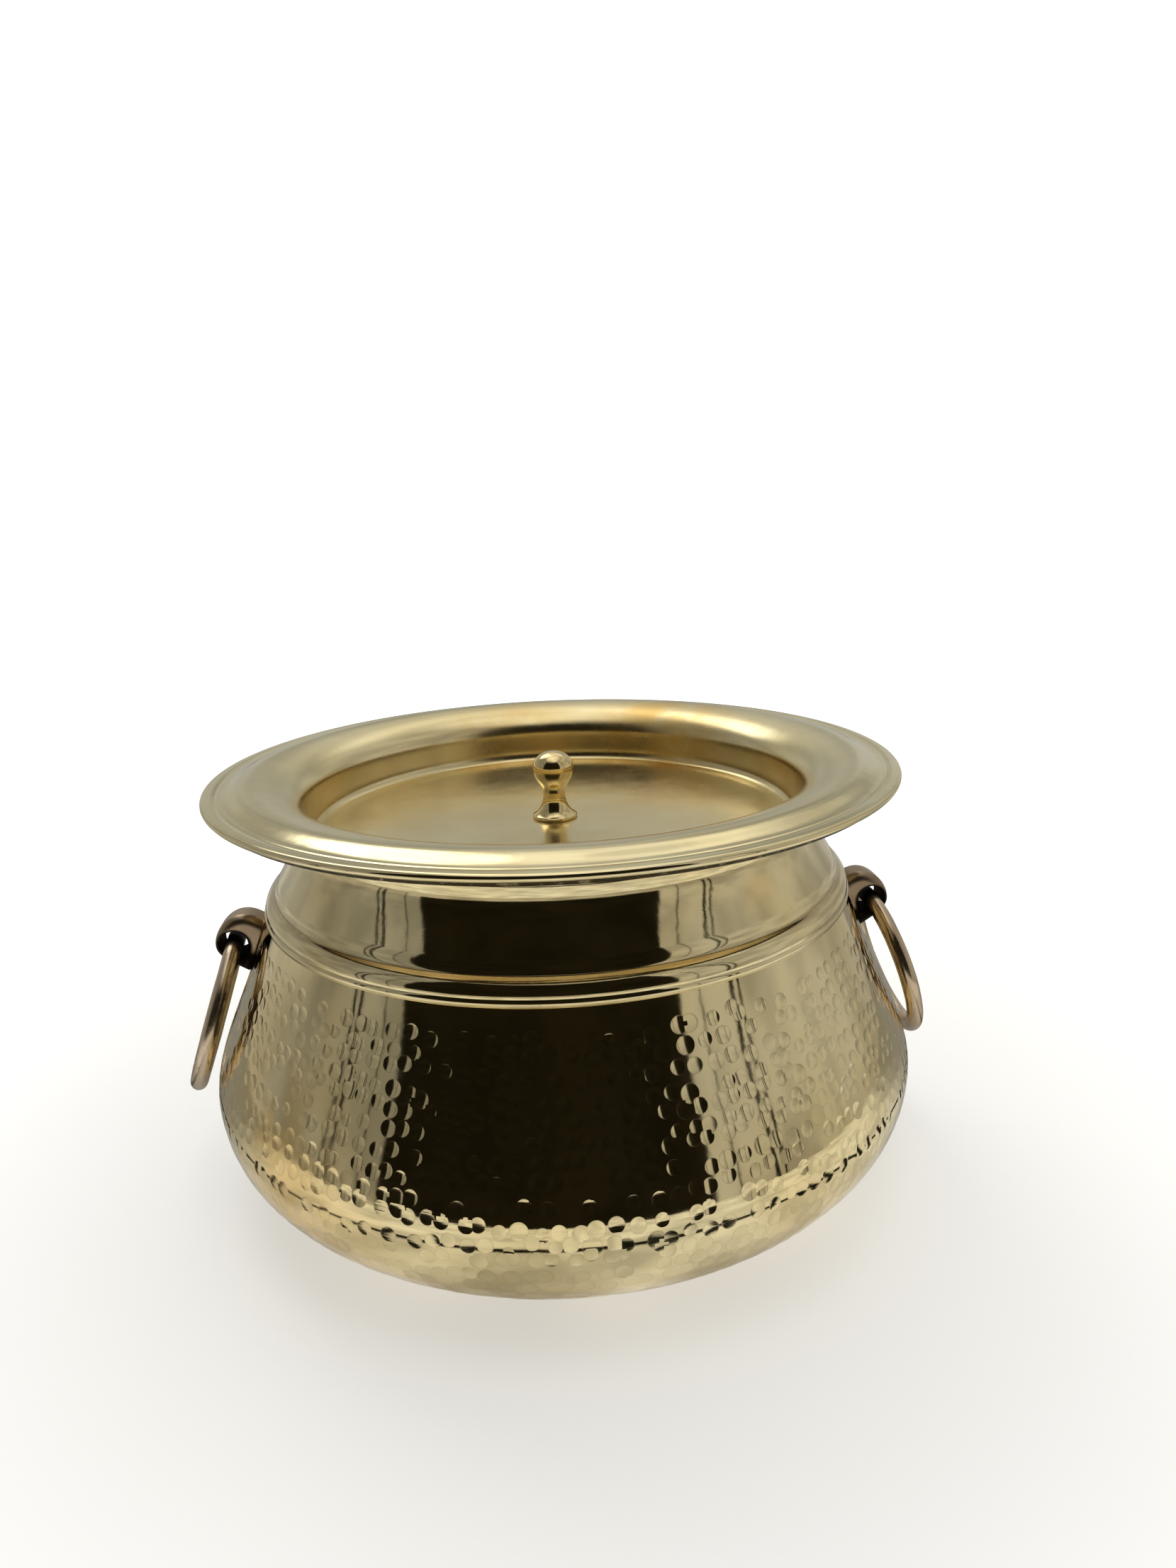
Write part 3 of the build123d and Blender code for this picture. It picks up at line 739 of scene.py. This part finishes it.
class Brass:
    """Metal with an uneven polish, soft clouds of tarnish and fine specks; the rest is laid over it."""

    def __init__(self, name, base, pale, rough, dull=0.25, patches=()):
        self.material = bpy.data.materials.new(name)
        self.material.use_nodes = True
        n = self.n = Nodes(self.material.node_tree)
        self.where = n.add("ShaderNodeTexCoord").outputs["Object"]
        self.x, self.y, self.height = n.parts(self.where)
        self.radius = n.math("SQRT", n.plus(n.times(self.x, self.x), n.times(self.y, self.y)))
        cloud = n.noise(self.where, 22.0, 4.0, 0.55)
        fine = n.noise(self.where, 160.0, 5.0, 0.6)
        tarnish = self.tarnish(dull, patches)
        colour = n.mix(n.ramp(cloud, 0.35, 0.68), base, pale)
        colour = n.mix(tarnish, colour, BRASS_AMBER)
        specks = n.times(n.ramp(n.noise(self.where, 420.0, 2.0, 0.5), 0.72, 0.80), 0.35)
        self.colour = n.mix(specks, colour, BRASS_BROWN)
        polish = n.ramp(n.plus(n.times(fine, 0.5), n.times(cloud, 0.5)), 0.3, 0.7, *rough)
        self.polish = n.plus(polish, n.times(tarnish, 0.12))
        self.normal = n.bump(n.noise(self.where, 900.0, 3.0, 0.6), 0.06, 0.04 * MM)

    def tarnish(self, dull, patches):
        """Clouds of tarnish everywhere, and stronger patches as (place, size, amount)."""
        n = self.n
        clouds = n.times(n.ramp(n.noise(self.where, 34.0, 6.0, 0.62), 0.55, 0.78), dull)
        for centre, size, amount in patches:
            torn = n.ramp(n.noise(self.where, 48.0, 5.0, 0.6), 0.30, 0.62)
            patch = n.times(n.spot(self.where, centre, size, size * 0.25), torn)
            clouds = n.math("MAXIMUM", clouds, n.times(patch, amount))
        return clouds

    def shade_and_tarnish_band(self, low, high, inner, soft, tint, amount, rougher):
        """A colour between two heights, outside a radius, for painted shade and for tarnish."""
        n = self.n
        cover = n.times(n.band(self.height, low, high, soft), n.math("GREATER_THAN", self.radius, inner))
        torn = n.ramp(n.noise(self.where, 260.0, 4.0, 0.6), 0.25, 0.50, amount * 0.6, amount)
        self.colour = n.mix(n.times(cover, torn), self.colour, tint)
        self.polish = n.plus(self.polish, n.times(cover, rougher))

    def painted_shade(self, centre, full, size, along_y=1.0):
        """Painted shade round a place on both sides of the pot; along_y 0 makes it a bar along Y."""
        n = self.n
        place = n.vector("MULTIPLY", n.vector("ABSOLUTE", self.where), (1, along_y, 1))
        torn = n.ramp(n.noise(self.where, 500.0, 3.0, 0.6), 0.2, 0.5, 0.75, 1.0)
        cover = n.times(n.spot(place, centre, size, full), torn)
        self.colour = n.mix(cover, self.colour, PAINTED_SHADE_BLACK)
        self.polish = n.plus(self.polish, n.times(cover, 0.25))

    def satin(self, edge, soft, rougher):
        """Rougher inside a radius."""
        rougher = self.n.ramp(self.radius, edge - soft, edge + soft, rougher, 0.0)
        self.polish = self.n.plus(self.polish, rougher)

    def wave(self, strength):
        """Slow unevenness of hand-worked metal."""
        height = self.n.noise(self.where, 60.0, 3.0, 0.5)
        self.normal = self.n.bump(height, strength, 0.4 * MM, self.normal)

    def dents(self):
        """The hammer marks' round rims, from each corner's place in its dent, with painted shade along
        each rim.
        """
        n = self.n
        place = n.add("ShaderNodeAttribute", attribute_name="dent")
        up, across, deep = n.parts(place.outputs["Vector"])
        square = n.plus(n.times(up, up), n.times(across, across))
        bowl = n.times(n.math("SUBTRACT", n.math("MINIMUM", square, 1.0), 1.0), deep)
        self.normal = n.bump(bowl, 1.0, MM, self.normal)
        # painted shade: a thin brown line along each dent's rim
        rim = n.times(n.ramp(square, 0.62, 0.96), n.ramp(square, 1.0, 1.22, 1.0, 0.0))
        self.colour = n.mix(n.times(rim, 0.14), self.colour, BRASS_BROWN)
        self.polish = n.plus(self.polish, n.times(rim, 0.05))

    def turned_lines(self, strength):
        """Fine lathe lines round the axis, drawn long by coordinates that turn slowly with the angle."""
        n = self.n
        stretched = n.add("ShaderNodeCombineXYZ")
        n.link(n.times(self.radius, LINES_PER_METRE), stretched.inputs[0])
        n.link(n.times(self.height, LINES_PER_METRE), stretched.inputs[1])
        n.link(n.times(n.math("ARCTAN2", self.y, self.x), LINE_TURNS), stretched.inputs[2])
        lines = n.noise(stretched.outputs[0], 1.0, 2.0, 0.6)
        self.normal = n.bump(lines, strength, 0.05 * MM, self.normal)

    def finish(self):
        n = self.n
        shader = n.add("ShaderNodeBsdfPrincipled")
        shader.inputs["Metallic"].default_value = 1.0
        n.link(self.colour, shader.inputs["Base Color"])
        n.link(self.polish, shader.inputs["Roughness"])
        n.link(self.normal, shader.inputs["Normal"])
        n.link(shader.outputs[0], n.add("ShaderNodeOutputMaterial").inputs[0])
        return self.material


def pot_brass():
    """Bright sheet with dents, painted shade under the rolled rim, and tarnish with a painted reflection
    in the fillet over the bead.
    """
    patches = (((-0.100, -0.085, 0.045), 0.055, 0.6), ((0.06, -0.10, 0.030), 0.03, 0.4),
               ((0.062, -0.082, 0.131), 0.012, 0.35))
    metal = Brass("pot_brass", BRASS, BRASS_PALE, rough=(0.03, 0.075), patches=patches)
    # painted shade: a dark band round the rolled rim, under the lid's edge
    metal.shade_and_tarnish_band(0.1532, 0.1561, 0.119, 0.0003, RIM_PAINTED_SHADE, 0.97, 0.35)
    # partly tarnish, partly painted reflection: a red-brown band in the fillet over the bead
    metal.shade_and_tarnish_band(0.1177, 0.1189, 0.100, 0.0004, FILLET_TARNISH_AND_REFLECTION, 0.45, 0.08)
    metal.wave(0.20)
    metal.dents()
    metal.turned_lines(0.16)
    return metal.finish()


def lid_brass():
    """Paler spun sheet: satin dish, golden far wall, painted shade under the edge."""
    patches = (((0.055, 0.080, 0.150), 0.045, 0.9), ((-0.01, 0.09, 0.150), 0.04, 0.5),
               ((0.06, 0.04, 0.137), 0.03, 0.5), ((-0.06, 0.05, 0.137), 0.03, 0.4))
    metal = Brass("lid_brass", (0.78, 0.65, 0.36, 1), (0.83, 0.72, 0.44, 1), rough=(0.04, 0.10),
                  patches=patches)
    # painted shade: a dark band under the lid's rolled edge
    metal.shade_and_tarnish_band(0.1550, 0.1562, 0.120, 0.0002, RIM_PAINTED_SHADE, 0.95, 0.3)
    metal.satin(0.112, 0.004, 0.15)
    metal.wave(0.35)
    metal.turned_lines(0.20)
    return metal.finish()


def knob_brass():
    metal = Brass("knob_brass", BRASS, (0.80, 0.63, 0.32, 1), rough=(0.06, 0.14), dull=0.5)
    metal.turned_lines(0.10)
    return metal.finish()


def ring_brass():
    """Browner rod, with painted shade where it runs in the eye."""
    metal = Brass("ring_brass", (0.60, 0.46, 0.31, 1), (0.70, 0.57, 0.43, 1), rough=(0.17, 0.32), dull=0.4)
    # painted shade: the rod blackened where it runs in the lug's eye
    metal.painted_shade((0.1259, 0, 0.0947), 0.0065, 0.0105)
    metal.wave(0.4)
    return metal.finish()


def cast_brass():
    """Dull brown casting, with painted shade inside the eye and under the hood."""
    metal = Brass("cast_brass", (0.30, 0.21, 0.13, 1), (0.46, 0.35, 0.24, 1), rough=(0.24, 0.42), dull=0.6)
    # painted shade: black inside the eye and under the hood
    metal.painted_shade((0.1256, 0, 0.0945), 0.0062, 0.0074, along_y=0.0)
    metal.painted_shade((0.1220, 0, 0.0845), 0.0065, 0.0095, along_y=0.0)
    metal.wave(0.7)
    return metal.finish()


def fixing_brass():
    return Brass("fixing_brass", BRASS, BRASS_PALE, rough=(0.15, 0.30), dull=0.4).finish()


# ---------------------------------------------------------------- camera

# A phone's wide lens. Lengths are in metres and turns in radians.
SENSOR_MM = 36.0
LENS_MM = 25.03725
CAMERA_BACK = 0.4064
CAMERA_UP = 0.2572
CAMERA_PITCH = 0.2609
CAMERA_ROLL = -0.0371
CAMERA_YAW = 0.0325
HANDLE_TURN = 0.0602


def camera():
    """Looks down on the pot from the front. The handles' line is turned a little against the view."""
    data = bpy.data.cameras.new("camera")
    data.sensor_width = SENSOR_MM
    data.lens = LENS_MM
    data.clip_start = 0.01
    p, r, y = CAMERA_PITCH, CAMERA_ROLL, CAMERA_YAW
    ahead = Vector((math.sin(y) * math.cos(p), math.cos(y) * math.cos(p), -math.sin(p)))
    level = Vector((math.cos(y), -math.sin(y), 0))
    upright = level.cross(ahead)
    right = math.cos(r) * level + math.sin(r) * upright
    up = -math.sin(r) * level + math.cos(r) * upright
    turn = Matrix.Rotation(-HANDLE_TURN, 3, "Z")
    basis = Matrix((turn @ right, turn @ up, turn @ -ahead)).transposed()
    place = Matrix.Translation(turn @ Vector((0, -CAMERA_BACK, CAMERA_UP)))
    obj = shown("camera", data)
    obj.matrix_world = place @ basis.to_4x4()
    bpy.context.scene.camera = obj


# ---------------------------------------------------------------- floor

FLOOR_RADIUS = 4.0
FLOOR_TONE = (0.88, 0.88, 0.87, 1)
FLOOR_SHADE = (0.05, 0.05, 0.045, 1)
FLOOR_DARK = (0.02, 0.02, 0.015, 1)
FLOOR_GLOW = (1, 1, 0.99, 1)
# Metal mirrors a dark line on the floor at about the first distance, and no floor past the second.
DARK_LINE = (0.184, 0.187, 0.194, 0.197)
MIRRORED_TO = 0.50


def floor_light(n, where, away, path):
    """The floor's own glow and its matte colour: white to the eye, uneven where metal mirrors it."""
    mirrored = path.outputs["Is Glossy Ray"]
    ahead = n.ramp(n.parts(where)[1], 0.06, -0.10)
    shade = n.times(mirrored, n.math("SUBTRACT", 1.0, ahead))
    inner, inner_full, outer_full, outer = DARK_LINE
    line = n.times(n.ramp(away, inner, inner_full), n.ramp(away, outer_full, outer, 1.0, 0.0))
    line = n.times(line, mirrored)
    lift = n.times(mirrored, n.times(ahead, n.math("SUBTRACT", 1.0, line)))
    lift = n.times(lift, n.ramp(n.noise(where, 16.0, 3.0, 0.55), 0.3, 0.7, 0.14, 0.56))
    white = n.times(path.outputs["Is Camera Ray"], n.ramp(away, 0.14, 0.60, 0.48, 1.0))
    tone = n.mix(n.times(shade, 0.45), FLOOR_TONE, FLOOR_SHADE)
    return n.plus(white, lift), n.mix(line, tone, FLOOR_DARK)


def floor():
    """A plain pale floor. Polished metal sees only the part of it near the object."""
    bpy.ops.mesh.primitive_circle_add(vertices=96, radius=FLOOR_RADIUS, fill_type="NGON")
    obj = bpy.context.object
    obj.name = "studio_floor"
    material = bpy.data.materials.new("studio_floor")
    material.use_nodes = True
    n = Nodes(material.node_tree)
    path = n.add("ShaderNodeLightPath")
    where = n.add("ShaderNodeTexCoord").outputs["Object"]
    away = n.vector("LENGTH", where)
    brightness, colour = floor_light(n, where, away, path)
    matte = n.add("ShaderNodeBsdfDiffuse")
    n.link(colour, matte.inputs[0])
    glow = n.add("ShaderNodeEmission")
    glow.inputs[0].default_value = FLOOR_GLOW
    n.link(brightness, glow.inputs[1])
    lit = n.add("ShaderNodeAddShader")
    n.link(matte.outputs[0], lit.inputs[0])
    n.link(glow.outputs[0], lit.inputs[1])
    gone = n.times(path.outputs["Is Glossy Ray"], n.math("GREATER_THAN", away, MIRRORED_TO))
    mix = n.add("ShaderNodeMixShader")
    n.link(gone, mix.inputs[0])
    n.link(lit.outputs[0], mix.inputs[1])
    n.link(n.add("ShaderNodeBsdfTransparent").outputs[0], mix.inputs[2])
    n.link(mix.outputs[0], n.add("ShaderNodeOutputMaterial").inputs[0])
    obj.data.materials.append(material)


# ---------------------------------------------------------------- room

# The room is described by azimuth, 0 in front and positive to the right, and by elevation, in degrees.
WALL_LEFT = (0.30, 0.295, 0.28, 1)
WALL_RIGHT = (0.46, 0.45, 0.42, 1)
WALL_BEHIND = (0.42, 0.43, 0.41, 1)
UPPER_LEFT = (0.26, 0.26, 0.25, 1)
UPPER_RIGHT = (0.50, 0.49, 0.46, 1)
UPPER_BEHIND = (0.92, 0.91, 0.87, 1)
CEILING = (1.0, 0.99, 0.95, 1)
WINDOW = (2.0, 1.98, 1.9, 1)
BELOW = (0.44, 0.425, 0.385, 1)
STRIPE = (0.012, 0.011, 0.008, 1)
FLAG = (0.012, 0.010, 0.006, 1)
WINDOW_AZIMUTH = -150.0
WINDOW_ELEVATIONS = (36.0, 62.0)
FLAG_AZIMUTHS = (-57.0, 41.0)
FLAG_ELEVATIONS = (-8.5, 57.0)
STRIPE_ELEVATIONS = (-14.0, 64.0)
# Each dark stripe's azimuth and half width.
STRIPES = ((-77.4, 0.55), (-74.6, 0.8), (-64.0, 0.3), (48.5, 0.3), (61.0, 0.8), (64.0, 0.55))


def room_colour(n, az, el):
    """Pale walls, a bright ceiling, a window behind, thin dark stripes and a dark flag in front."""
    behind = n.ramp(n.math("ABSOLUTE", az), 110.0, 160.0)
    wall = n.mix(behind, n.mix(n.ramp(az, -100.0, 75.0), WALL_LEFT, WALL_RIGHT), WALL_BEHIND)
    upper = n.mix(behind, n.mix(n.ramp(az, -60.0, 60.0), UPPER_LEFT, UPPER_RIGHT), UPPER_BEHIND)
    colour = n.mix(n.ramp(el, 24.0, 46.0), wall, upper)
    colour = n.mix(n.ramp(el, 58.0, 80.0), colour, CEILING)
    beside = n.math("ABSOLUTE", n.plus(az, -WINDOW_AZIMUTH))
    window = n.times(n.ramp(beside, 14.0, 24.0, 1.0, 0.0), n.band(el, *WINDOW_ELEVATIONS, 4.0))
    colour = n.mix(window, colour, WINDOW)
    colour = n.mix(n.ramp(el, -4.0, -10.0), colour, BELOW)
    for line, width in STRIPES:
        stripe = n.times(n.band(az, line - width, line + width, 0.25), n.band(el, *STRIPE_ELEVATIONS, 2.0))
        colour = n.mix(stripe, colour, STRIPE)
    flag = n.times(n.band(az, *FLAG_AZIMUTHS, 0.8), n.band(el, *FLAG_ELEVATIONS, 1.5))
    return n.mix(flag, colour, FLAG)


def world():
    """A soft studio with faint clutter. The metal mirrors it, and the camera sees plain white."""
    sky = bpy.data.worlds.new("studio")
    bpy.context.scene.world = sky
    sky.use_nodes = True
    n = Nodes(sky.node_tree)
    turned = n.add("ShaderNodeVectorRotate", rotation_type="Z_AXIS")
    n.link(n.add("ShaderNodeTexCoord").outputs["Generated"], turned.inputs["Vector"])
    turned.inputs["Angle"].default_value = HANDLE_TURN
    x, y, z = n.parts(turned.outputs[0])
    az = n.times(n.math("ARCTAN2", x, n.times(y, -1.0)), 180 / math.pi)
    el = n.times(n.math("ARCSINE", z), 180 / math.pi)
    clutter = n.noise(turned.outputs[0], 3.4, 2.0, 0.5)
    scaled = n.add("ShaderNodeVectorMath", operation="SCALE")
    n.link(room_colour(n, az, el), scaled.inputs[0])
    n.link(n.ramp(clutter, 0.30, 0.70, 0.78, 1.26), scaled.inputs["Scale"])
    seen = n.add("ShaderNodeLightPath").outputs["Is Camera Ray"]
    light = n.add("ShaderNodeBackground")
    n.link(n.mix(seen, scaled.outputs[0], (1, 1, 1, 1)), light.inputs[0])
    n.link(light.outputs[0], n.add("ShaderNodeOutputWorld").inputs[0])


# ---------------------------------------------------------------- put together

def dress(obj, material, body, slot, *nodes):
    obj.data.materials.clear()
    obj.data.materials.append(material)
    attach(obj, body)
    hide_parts(*nodes)


camera()
floor()
world()
dress(pot_mesh(), pot_brass(), "pot", "pot_brass", "pot_body")
dress(lid_mesh(), lid_brass(), "lid", "lid_brass", "lid")
dress(knob_mesh(), knob_brass(), "lid", "knob_brass", "lid_knob")
rod_metal, cast_metal, fixing_metal = ring_brass(), cast_brass(), fixing_brass()
for side, word, hang, seed in ((1, "right", RIGHT_RING, 5), (-1, "left", LEFT_RING, 8)):
    ring = ring_mesh(f"{word}_ring_handle", side, hang, seed)
    outward(ring)
    dress(ring, rod_metal, f"{word}_ring", "ring_brass", f"{word}_ring")
    lug = lug_mesh(f"{word}_cast_lug", f"{word}_lug")
    dress(lug, cast_metal, "pot", "cast_brass", f"{word}_lug")
for node in ("knob_washer", "knob_screw", "right_lug_washers", "left_lug_washers"):
    metal = frame["nodes"][node].data.materials
    metal.clear()
    metal.append(fixing_metal)

bpy.context.scene.view_settings.view_transform = "Standard"
